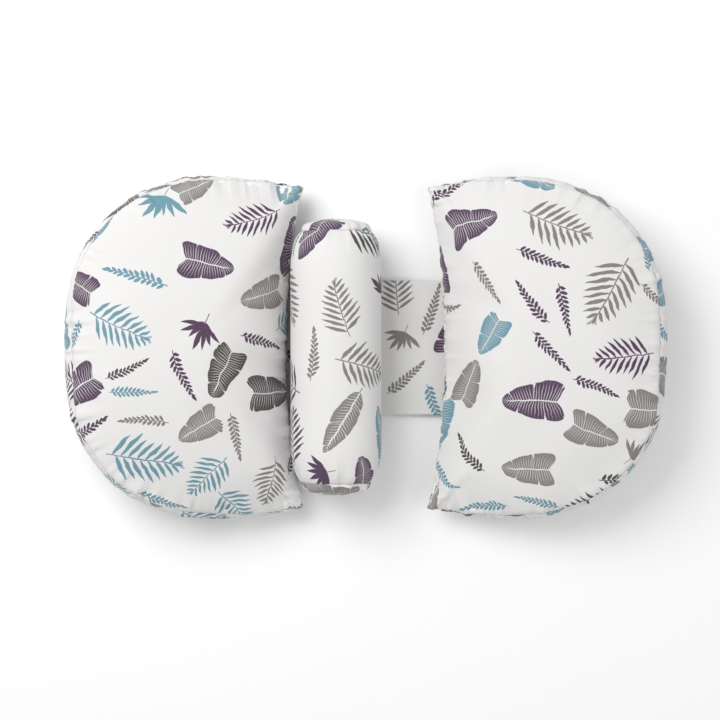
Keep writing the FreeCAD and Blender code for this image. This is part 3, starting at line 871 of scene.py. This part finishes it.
class Value:
    """A number made by shader nodes, written as ordinary arithmetic."""

    def __init__(self, tree, socket):
        self.tree = tree
        self.socket = socket

    def math(self, operation, *others):
        """A Math node with this value first."""
        node = self.tree.nodes.new("ShaderNodeMath")
        node.operation = operation
        for index, value in enumerate((self, *others)):
            if isinstance(value, Value):
                self.tree.links.new(value.socket, node.inputs[index])
            else:
                node.inputs[index].default_value = value
        return Value(self.tree, node.outputs[0])

    def __add__(self, other):
        return self.math("ADD", other)

    def __sub__(self, other):
        return self.math("SUBTRACT", other)

    def __mul__(self, other):
        return self.math("MULTIPLY", other)

    def __truediv__(self, other):
        return self.math("DIVIDE", other)

    def __pow__(self, other):
        return self.math("POWER", other)

    def __neg__(self):
        return self * -1

    def flipped(self):
        """One less this value."""
        return (-self) + 1

    def size(self):
        """This value without its sign."""
        return self.math("ABSOLUTE")

    def positive(self):
        """This value, or nought where it is negative."""
        return self.math("MAXIMUM", 0.0)

    def arch(self):
        """Half a sine wave over 0 to 1."""
        return (self * math.pi).math("SINE").positive()

    def step(self, low, high):
        """A smooth step from 0 at low to 1 at high."""
        node = self.tree.nodes.new("ShaderNodeMapRange")
        node.interpolation_type = "SMOOTHSTEP"
        self.tree.links.new(self.socket, node.inputs["Value"])
        for name, value in (("From Min", low), ("From Max", high)):
            if isinstance(value, Value):
                self.tree.links.new(value.socket, node.inputs[name])
            else:
                node.inputs[name].default_value = value
        return Value(self.tree, node.outputs["Result"])

    def within(self, width, softness):
        """1 where this value is closer to nought than a width, with a soft edge."""
        return (self.size() - width).step(softness, -softness)


def greater(a, b):
    """The greater of two values."""
    return a.math("MAXIMUM", b)


def random_number(tree, *seeds):
    """A number from 0 to 1 that depends only on the seeds."""
    joined = tree.nodes.new("ShaderNodeCombineXYZ")
    for index, seed in enumerate(seeds):
        tree.links.new(seed.socket, joined.inputs[index])
    noise_node = tree.nodes.new("ShaderNodeTexWhiteNoise")
    noise_node.noise_dimensions = "3D"
    tree.links.new(joined.outputs[0], noise_node.inputs["Vector"])
    return Value(tree, noise_node.outputs["Value"])


def new_group(name, inputs):
    """An empty node group with float inputs and one output, and those inputs as values."""
    tree = bpy.data.node_groups.new(name, "ShaderNodeTree")
    for label in inputs:
        tree.interface.new_socket(label, in_out="INPUT", socket_type="NodeSocketFloat")
    tree.interface.new_socket("Ink", in_out="OUTPUT", socket_type="NodeSocketFloat")
    entry = tree.nodes.new("NodeGroupInput")
    values = [Value(tree, entry.outputs[label]) for label in inputs]
    return tree, values


def finish_group(tree, result):
    """Gives a node group its result, and gives back the group."""
    exit_node = tree.nodes.new("NodeGroupOutput")
    tree.links.new(result.socket, exit_node.inputs["Ink"])
    return tree


LEAF_INPUTS = ("Along", "Across", "Reach", "Second", "Third", "Seed")


def frond_group():
    """A stem with a row of slender leaflets down each side."""
    tree, (x, y, reach, count, slim, seed) = new_group("frond_drawing", LEAF_INPUTS)
    bend = (random_number(tree, seed, seed, seed) - 0.5) * 0.35
    y = y - bend * x * x.flipped()
    side = y.math("SIGN")
    out = y.size()
    lean = x * 0.35 + 0.5
    foot = x - out * lean + side * 0.02
    cell = foot * count
    number = cell.math("FLOOR")
    offset = cell - number - 0.5
    base = (number + 0.5) / count
    uneven = random_number(tree, number, side, seed) * 0.25 + 0.82
    taper = (base.size() ** 1.6).flipped().positive() ** 0.75
    start = base.step(-0.1, 0.16) * 0.35 + 0.65
    length = greater(reach * taper * start * uneven, reach * 0.05)
    share = out / length
    profile = (share ** 0.85).arch() ** 0.8
    body = (profile * slim - offset.size()).step(-0.03, 0.05)
    body = body * share.step(1.0, 0.97) * base.step(0.0, 0.03) * base.step(0.97, 0.93)
    stem = y.within(0.009, 0.004) * x.step(-0.06, -0.04) * x.step(0.96, 0.94)
    tip_width = ((x - 0.86) / 0.14).arch() * 0.026
    tip = (tip_width - out).step(-0.003, 0.004) * x.step(0.86, 0.88) * x.step(1.0, 0.99)
    return finish_group(tree, greater(greater(body, stem), tip))


def broad_group():
    """A broad leaf with slits, pale veins and a pale midrib."""
    tree, (x, y, width, lean, spread, seed) = new_group("broad_leaf_drawing", LEAF_INPUTS)
    side = y.math("SIGN")
    out = y.size()
    vein = (x - out * lean) / (out * spread + 1)
    at = vein.positive().math("MINIMUM", 1.0)
    full = lean.step(-0.5, 0.0)
    swell = at ** (full * 0.25 + 0.2)
    edge = width * swell * (at.flipped() ** 0.88) * (full * 0.5 + 1.55)
    shift = random_number(tree, side, seed, seed)
    lobe = (vein * 2.7 + shift).math("FRACT") - 0.5
    lobe_gap = (lobe.size() - 0.5).size()
    edge = edge * (lobe * lobe * -0.2 + 1)
    share = out / edge.math("MAXIMUM", 0.001)
    slit_depth = random_number(tree, side, seed, (vein * 2.7 + shift).math("FLOOR"))
    slit = share.step(slit_depth * 0.35 + 0.5, 1.15) * 0.055
    body = (lobe_gap - slit).step(-0.012, 0.02)
    body = body * share.step(1.0, 0.95) * vein.step(-0.002, 0.01) * vein.step(1.0, 0.985)
    stripe = (vein * 23.0 + shift + side * 0.2).math("FRACT") - 0.5
    line = stripe.within(0.1, 0.09) * share.step(1.05, 0.25) * 0.9
    rib = y.within(0.011, 0.006) * x.step(0.95, 0.8)
    body = body * line.flipped() * rib.flipped()
    stalk = y.within(0.008, 0.004) * x.step(-0.12, -0.1) * x.step(0.03, 0.01) * full
    return finish_group(tree, greater(body, stalk))


def tuft_group():
    """A fan of pointed leaves on a short stalk."""
    tree, (x, y, slim, count, fan, seed) = new_group("tuft_drawing", LEAF_INPUTS)
    distance = (x * x + y * y).math("SQRT")
    turn = y.math("ARCTAN2", x)
    pitch = fan / count
    cell = turn / pitch + count * 0.5
    number = cell.math("FLOOR")
    middle = (number + 0.5 - count * 0.5) * pitch
    uneven = random_number(tree, number, seed, seed)
    off = turn - middle - (uneven - 0.5) * 0.12
    length = uneven * 0.35 + 0.68
    along = distance * off.math("COSINE") / length
    across = (distance * off.math("SINE")).size()
    profile = (along.positive() ** 0.9).arch()
    width = profile ** 0.9 * slim * (uneven * 0.5 + 0.65)
    body = (width - across).step(-0.006, 0.01) * along.step(1.0, 0.98)
    body = body * number.step(-0.6, -0.4) * (number - count).step(-0.4, -0.6)
    body = body * along.step(0.03, 0.06)
    stalk = y.within(0.014, 0.006) * x.step(-0.32, -0.3) * x.step(0.12, 0.1)
    return finish_group(tree, greater(body, stalk))


# --- Materials


def new_material(name, colour, roughness):
    """A material with nodes, and its tree and main shader."""
    material = bpy.data.materials.new(name)
    material.use_nodes = True
    tree = material.node_tree
    shader = tree.nodes["Principled BSDF"]
    shader.inputs["Base Color"].default_value = (*colour, 1)
    shader.inputs["Roughness"].default_value = roughness
    return material, tree, shader


def attribute(tree, name):
    """A node that reads a mesh attribute."""
    node = tree.nodes.new("ShaderNodeAttribute")
    node.attribute_name = name
    return node


def object_place(tree):
    """Where a point lies on its object."""
    return tree.nodes.new("ShaderNodeTexCoord").outputs["Object"]


def axes(tree, socket):
    """The three numbers of a vector."""
    node = tree.nodes.new("ShaderNodeSeparateXYZ")
    tree.links.new(socket, node.inputs[0])
    return [Value(tree, output) for output in node.outputs]


def noise_value(tree, vector, scale, detail=2.0):
    """Smooth noise, from 0 to 1."""
    node = tree.nodes.new("ShaderNodeTexNoise")
    node.inputs["Scale"].default_value = scale
    node.inputs["Detail"].default_value = detail
    tree.links.new(vector, node.inputs["Vector"])
    return Value(tree, node.outputs["Fac"])


def mixed(tree, amount, first, second):
    """A colour between two: each is a colour socket or a plain colour."""
    node = tree.nodes.new("ShaderNodeMix")
    node.data_type = "RGBA"
    tree.links.new(amount.socket, node.inputs["Factor"])
    for index, colour in ((6, first), (7, second)):
        if isinstance(colour, tuple):
            node.inputs[index].default_value = (*colour, 1)
        else:
            tree.links.new(colour, node.inputs[index])
    return node.outputs[2]


def weave(tree, vector, thread, softness=0.5):
    """Height of a plain weave of threads, from 0 to 1."""
    x, y, _ = axes(tree, vector)
    turns = 2 * math.pi / (2 * thread)
    warp = (x * turns).math("SINE")
    weft = (y * turns).math("SINE")
    return warp * weft * softness + 0.5


def bump(tree, shader, height, distance, strength=1.0):
    """Raises a material's surface by a height."""
    node = tree.nodes.new("ShaderNodeBump")
    node.inputs["Distance"].default_value = distance
    node.inputs["Strength"].default_value = strength
    tree.links.new(height.socket, node.inputs["Height"])
    tree.links.new(node.outputs["Normal"], shader.inputs["Normal"])


def cotton_material():
    """Off-white cotton with printed leaves, a fine weave and small creases."""
    material, tree, shader = new_material("printed_cotton", (0.9, 0.89, 0.87), 0.85)
    shader.inputs["Sheen Weight"].default_value = 0.12
    shader.inputs["Sheen Roughness"].default_value = 0.5
    shader.inputs["Specular IOR Level"].default_value = 0.25
    cut = tree.nodes.new("ShaderNodeUVMap")
    cut.uv_map = "Cut"
    flat = cut.outputs[0]
    place = attribute(tree, "leaf_place").outputs["Vector"]
    x, y, kind = axes(tree, place)
    numbers = axes(tree, attribute(tree, "leaf_shape").outputs["Vector"])
    seed = Value(tree, attribute(tree, "leaf_seed").outputs["Fac"])
    wobble = (noise_value(tree, flat, 160) - 0.5) * 0.022
    x, y = x + wobble, y + (noise_value(tree, flat, 140) - 0.5) * 0.022
    ink = None
    drawings = ((FROND, frond_group()), (BROAD, broad_group()), (TUFT, tuft_group()))
    for code, group in drawings:
        node = tree.nodes.new("ShaderNodeGroup")
        node.node_tree = group
        for label, value in zip(LEAF_INPUTS, (x, y, *numbers, seed)):
            tree.links.new(value.socket, node.inputs[label])
        drawn = Value(tree, node.outputs["Ink"]) * (kind - code).within(0.5, 0.01)
        ink = drawn if ink is None else greater(ink, drawn)
    patchy = noise_value(tree, flat, 900, 1.0).step(0.25, 0.5) * 0.12 + 0.86
    colour = attribute(tree, "leaf_ink").outputs["Color"]
    ground = mixed(tree, noise_value(tree, flat, 14), (0.70, 0.692, 0.685), (0.74, 0.733, 0.726))
    tree.links.new(mixed(tree, ink * patchy, ground, colour), shader.inputs["Base Color"])
    threads = weave(tree, flat, 0.45 * MM) * 0.14  # low, so that creases show over it
    creases = noise_value(tree, flat, 34, 3.0)
    bump(tree, shader, threads + creases, 0.9 * MM, 0.55)
    return material


def plain_cloth(name, colour, thread, roughness=0.9, fuzz=0.3):
    """Unprinted cloth: a weave, a little unevenness and some sheen."""
    material, tree, shader = new_material(name, colour, roughness)
    shader.inputs["Sheen Weight"].default_value = fuzz
    spot = object_place(tree)
    darker = tuple(0.88 * c for c in colour)
    tint = mixed(tree, noise_value(tree, spot, 90), darker, colour)
    tree.links.new(tint, shader.inputs["Base Color"])
    bump(tree, shader, weave(tree, spot, thread), 0.12 * MM, 0.6)
    return material


def pile_material(name, colour, scale, depth):
    """Tape covered in hooks or loops, with painted shade in the gaps between them."""
    material, tree, shader = new_material(name, colour, 0.7)
    spot = object_place(tree)
    cells = tree.nodes.new("ShaderNodeTexVoronoi")
    cells.inputs["Scale"].default_value = scale
    tree.links.new(spot, cells.inputs["Vector"])
    gap_depth_and_painted_shade = Value(tree, cells.outputs["Distance"])
    # Painted shade: the colour darkens away from each hook's or loop's middle, where the bump sinks
    # into the gaps.
    darker = tuple(0.75 * c for c in colour)
    tree.links.new(mixed(tree, gap_depth_and_painted_shade, colour, darker), shader.inputs["Base Color"])
    bump(tree, shader, gap_depth_and_painted_shade.flipped(), depth, 0.9)
    return material


def enamel_material(name, colour, roughness, metallic):
    """Coated metal or moulded nylon, faintly uneven."""
    material, tree, shader = new_material(name, colour, roughness)
    shader.inputs["Metallic"].default_value = metallic
    spot = object_place(tree)
    marks = noise_value(tree, spot, 700, 3.0)
    darker = tuple(0.85 * c for c in colour)
    tree.links.new(mixed(tree, marks, colour, darker), shader.inputs["Base Color"])
    bump(tree, shader, marks, 0.05 * MM, 0.4)
    return material


MATERIALS = {
    "printed_cotton": cotton_material(),
    "liner_cloth": plain_cloth("liner_cloth", (0.86, 0.86, 0.84), 0.4 * MM),
    "fibre_filling": plain_cloth("fibre_filling", (0.9, 0.9, 0.9), 2.5 * MM, 1.0, 0.5),
    "zip_tape": plain_cloth("zip_tape", (0.8, 0.79, 0.76), 0.35 * MM, 0.8, 0.1),
    "zip_nylon": enamel_material("zip_nylon", (0.82, 0.81, 0.78), 0.4, 0.0),
    "zip_slider": enamel_material("zip_slider", (0.78, 0.77, 0.74), 0.32, 0.25),
    "hook_tape": pile_material("hook_tape", (0.82, 0.81, 0.78), 900, 0.5 * MM),
    "loop_tape": pile_material("loop_tape", (0.84, 0.83, 0.8), 1400, 0.3 * MM),
}


def finish_piece(obj, slot, body=None, nodes=()):
    """Gives a piece its material, its body and the CAD nodes that it stands for."""
    obj.data.materials.clear()
    obj.data.materials.append(MATERIALS[slot])
    if nodes:
        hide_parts(*nodes)
    if body is not None:
        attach(obj, body)


def make_inside(owner, body, sewing, points):
    """The liner and the filling inside a case."""
    for name, depth, slot in (
        ("liner", LINER_DEPTH, "liner_cloth"),
        ("filling", FILLING_DEPTH, "fibre_filling"),
    ):
        piece = inner_piece(f"{owner}_{name}_bag", sewing, points, depth)
        finish_piece(piece, slot, body, [f"{owner}_{name}"])


# --- The cushions


def make_cushion(side):
    """One cushion, made in the left one's place, and turned round if it is the right one.

    Gives where its case's points lie, and how the case is sewn.
    """
    low, high = box_of(*(f"left_{node}" for node in SKIN_NODES))
    seed = 5 if side == "left" else 8
    sewing = sew_cushion(low, high, seed)
    points = stuff(sewing, CUSHION_PRESSURE)
    points = smoothed(points, list(sewing.faces()), sewing.seams(), SMOOTHING)
    points = lay_cushion(sewing, points, low, high)
    sunk = sink_seams(points, list(sewing.faces()), sewing.seams(), SEAM_SINK)
    turn = 1 if side == "left" else -1
    body = f"{side}_cushion"
    around = np.array([turn, turn, 1])
    for number, part in enumerate(SKIN_NODES):
        skip = cushion_slot() if part == "bottom_panel" else None
        piece = cloth_piece(f"{side}_{part}_cloth", sewing, part, sunk, skip)
        printed(sewing, part, 10 * seed + number).apply(piece)
        piece.data.transform(rotation(turn))
        thicken(piece, CASE_THICKNESS)
        finish_piece(piece, "printed_cotton", body, [f"{side}_{part}"])
    make_inside(side, body, sewing, points * around)
    return sunk * around, sewing


def rotation(turn):
    """Nothing for the left cushion, half a turn about Z for the right one."""
    return Matrix.Rotation(0 if turn == 1 else math.pi, 4, "Z")


# --- The bolster


def taper_bolster(sewing, points, centre, half):
    """The bolster drawn in towards its ends, which are gathered into shallow domes."""
    seam = half - BOLSTER_END_DEPTH
    tapered = points.copy()
    for part, way in (("front_end_panel", -1), ("back_end_panel", 1)):
        piece = sewing.pieces[part]
        out = np.linalg.norm(piece["flat"], axis=1) / BOLSTER_RADIUS
        dome = np.sqrt(np.clip(1 - out**2, 0, 1))
        tapered[piece["own"], 1] = centre[1] + way * (seam + BOLSTER_END_DEPTH * dome)
    sleeve = sewing.pieces["sleeve"]
    tapered[sleeve["own"], 1] = centre[1] + sleeve["flat"][:, 1]
    near_end = (np.abs(tapered[:, 1] - centre[1]) - seam + BOLSTER_TAPER_RUN) / BOLSTER_TAPER_RUN
    shrink = 1 - BOLSTER_TAPER * np.clip(near_end, 0, 1) ** 2
    tapered[:, 0] = centre[0] + (tapered[:, 0] - centre[0]) * shrink
    tapered[:, 2] = centre[2] + (tapered[:, 2] - centre[2]) * shrink
    return tapered


def lay_bolster(sewing, points, low, high, cushion_tree):
    """A stuffed bolster lying on the strap, pressed against the left cushion."""
    points = fit_box(points, low - BOLSTER_PRESSED, high)
    points[:, 2] = soft_floor(points[:, 2], low[2], BOLSTER_FLOOR_SOFTNESS)
    centre = (low + high) / 2
    points = taper_bolster(sewing, points, centre, (high[1] - low[1]) / 2)
    piece = sewing.pieces["sleeve"]
    half = np.array([ZIP_TAPE / 2, BOLSTER_ZIP_OPENING / 2])
    fitted = points.copy()
    for flat, index in zip(piece["flat"], piece["own"]):
        away = np.maximum(np.abs(flat - (BOLSTER_ZIP_SPOT, 0)) - half, 0)
        near = ease(1 - np.linalg.norm(away) / BOLSTER_ZIP_BLEND)
        turn = flat[0] / BOLSTER_RADIUS + math.pi
        round_spot = np.array(
            [
                centre[0] + BOLSTER_RADIUS * math.sin(turn),
                centre[1] + flat[1],
                centre[2] + BOLSTER_RADIUS * math.cos(turn),
            ]
        )
        fitted[index] = points[index] * (1 - near) + round_spot * near
    for index, spot in enumerate(fitted):
        hit, normal, _, _ = cushion_tree.find_nearest(Vector(spot))
        clear = (Vector(spot) - hit).dot(normal)
        if clear < BOLSTER_CLEARANCE and (Vector(spot) - hit).length < PRESS_REACH:
            fitted[index] = spot + np.array(normal) * (BOLSTER_CLEARANCE - clear)
    return fitted


def make_bolster(cushion_points, cushion_sewing):
    """The bolster: sleeve, two gathered ends, liner and filling."""
    low, high = box_of("bolster_sleeve", "bolster_back_end_panel", "bolster_front_end_panel")
    tree = BVHTree.FromPolygons(
        [Vector(p) for p in cushion_points], outward_faces(cushion_points, cushion_sewing)
    )
    sewing = sew_bolster(low, high, 3)
    points = stuff(sewing, BOLSTER_PRESSURE)
    points = smoothed(points, list(sewing.faces()), sewing.seams(), SMOOTHING // 2)
    points = lay_bolster(sewing, points, low, high, tree)
    sunk = sink_seams(points, list(sewing.faces()), sewing.seams(), BOLSTER_SEAM_SINK)
    for number, part in enumerate(("sleeve", "back_end_panel", "front_end_panel")):
        skip = bolster_slot() if part == "sleeve" else None
        piece = cloth_piece(f"bolster_{part}_cloth", sewing, part, sunk, skip)
        printed(sewing, part, 40 + number).apply(piece)
        thicken(piece, CASE_THICKNESS)
        finish_piece(piece, "printed_cotton", "bolster", [f"bolster_{part}"])
    make_inside("bolster", "bolster", sewing, points)


def outward_faces(points, sewing):
    """A case's faces, all turned to look outwards."""
    obj = plain_mesh("case_faces", points, list(sewing.faces()))
    faces = [tuple(polygon.vertices) for polygon in obj.data.polygons]
    discard(obj)
    return faces


# --- The strap


def sheet_height(x, y, low, high, hem):
    """How high a layer's top lies at one place: in slight waves, with stitched and curled edges."""
    wave = noise.noise(Vector((x * WAVES_X, y * WAVES_Y, 0.3)))
    free = ease((x - FREE_START) / FREE_BLEND) * ease((FREE_END - x) / FREE_BLEND)
    lift = free * (WAVE_RISE + WAVE_SWING * wave) * MM
    edge = min(y - low[1], high[1] - y)
    stitch = math.exp(-(((edge - HEM_INSET) / HEM_WIDTH) ** 2)) * HEM_DEPTH
    drop = stitch if hem else 0
    curl = CURL_DEPTH * max(0.0, 1 - edge / CURL_RUN) ** 2
    return high[2] + lift - drop - curl


def make_sheet(name, node, slot, start, end, hem, seed):
    """One layer of the strap between two places along X, at its CAD node's height."""
    low, high = box_of(node)
    across = np.linspace(start, end, int((end - start) / SHEET_CELL) + 1)
    along = np.linspace(low[1], high[1], int((high[1] - low[1]) / SHEET_CELL) + 1)
    flat = [(x, y) for y in along for x in across]
    points = [(x, y, sheet_height(x, y, low, high, hem)) for x, y in flat]
    wide = len(across)
    faces = [
        (row * wide + k, row * wide + k + 1, (row + 1) * wide + k + 1, (row + 1) * wide + k)
        for row in range(len(along) - 1)
        for k in range(wide - 1)
    ]
    obj = mesh_object(name, points, faces)
    keep_cut(obj.data, np.array(flat), faces)
    if slot == "printed_cotton":
        sheet_print = Print(seed)
        sheet_print.fill((start, low[1]), (end, high[1]))
        sheet_print.apply(obj)
    thicken(obj, SHEET_SHARE * (high[2] - low[2]))
    finish_piece(obj, slot, None, [node])
    return obj


def make_strap():
    """Six layers: each half's face and lining, and the hook and loop tapes between them."""
    left_low = box_of("left_strap_face")[0][0] - SEWN_ON
    left_high = box_of("left_strap_face")[1][0]
    right_low = box_of("right_strap_face")[0][0]
    right_high = box_of("right_strap_face")[1][0] + SEWN_ON
    tape_low, tape_high = box_of("strap_loop_tape")
    layers = (
        ("left_strap_lining", "printed_cotton", left_low, left_high, 61),
        ("left_strap_face", "printed_cotton", left_low, left_high, 62),
        ("strap_loop_tape", "loop_tape", tape_low[0], tape_high[0], 0),
        ("strap_hook_tape", "hook_tape", tape_low[0], tape_high[0], 0),
        ("right_strap_lining", "printed_cotton", right_low, right_high, 63),
        ("right_strap_face", "printed_cotton", right_low, right_high, 64),
    )
    for node, slot, start, end, seed in layers:
        hem = slot == "printed_cotton"
        obj = make_sheet(f"{node}_cloth", node, slot, start, end, hem, seed)
        if node.startswith("left_strap"):
            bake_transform(obj)
        elif node.startswith("right_strap"):
            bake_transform(obj)
        else:
            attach(obj, "left_strap" if node == "strap_loop_tape" else "right_strap")
        end - start


# --- Everything else


def dress_cad_nodes():
    """The zips keep their CAD shapes and get materials."""
    for name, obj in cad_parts.items():
        if "_zipper_" not in name:
            continue
        if name.endswith("tapes"):
            slot = "zip_tape"
        elif name.endswith(("teeth", "stops")):
            slot = "zip_nylon"
        else:
            slot = "zip_slider"
        obj.data.materials.clear()
        obj.data.materials.append(MATERIALS[slot])


def make_floor():
    """A plain pale floor."""
    bpy.ops.mesh.primitive_plane_add(size=12, location=(0, 0, -0.2 * MM))
    floor = bpy.context.object
    floor.name = "floor"
    material, _, _ = new_material("floor", (0.92, 0.92, 0.92), 0.9)
    floor.data.materials.append(material)


def make_lights():
    """Soft light from all round, and two large lamps that look at the origin."""
    world = bpy.data.worlds.new("studio")
    bpy.context.scene.world = world
    world.use_nodes = True
    background = world.node_tree.nodes["Background"]
    background.inputs["Color"].default_value = (1, 1, 1, 1)
    background.inputs["Strength"].default_value = SKY_STRENGTH
    for name, place, watts, width in LIGHTS:
        light = bpy.data.lights.new(name, "AREA")
        light.energy = watts
        light.size = width
        lamp = bpy.data.objects.new(name, light)
        bpy.context.scene.collection.objects.link(lamp)
        lamp.location = place
        lamp.rotation_euler = (-Vector(place)).to_track_quat("-Z", "Y").to_euler()
    bpy.context.scene.view_settings.view_transform = "Standard"


def make_camera():
    """A camera that looks straight down, as high as shows the frame's width."""
    camera_data = bpy.data.cameras.new("camera")
    camera_data.lens = LENS
    camera = bpy.data.objects.new("camera", camera_data)
    bpy.context.scene.collection.objects.link(camera)
    middle = (CAD_BOUNDS[0] + CAD_BOUNDS[1]) / 2
    distance = FRAME_WIDTH / camera_data.sensor_width * camera_data.lens
    camera.location = (middle.x + FRAME_SHIFT[0], middle.y + FRAME_SHIFT[1], distance + middle.z)
    bpy.context.scene.camera = camera


left_points, left_sewing = make_cushion("left")
make_cushion("right")
make_bolster(left_points, left_sewing)
make_strap()
dress_cad_nodes()
make_floor()
make_lights()
make_camera()
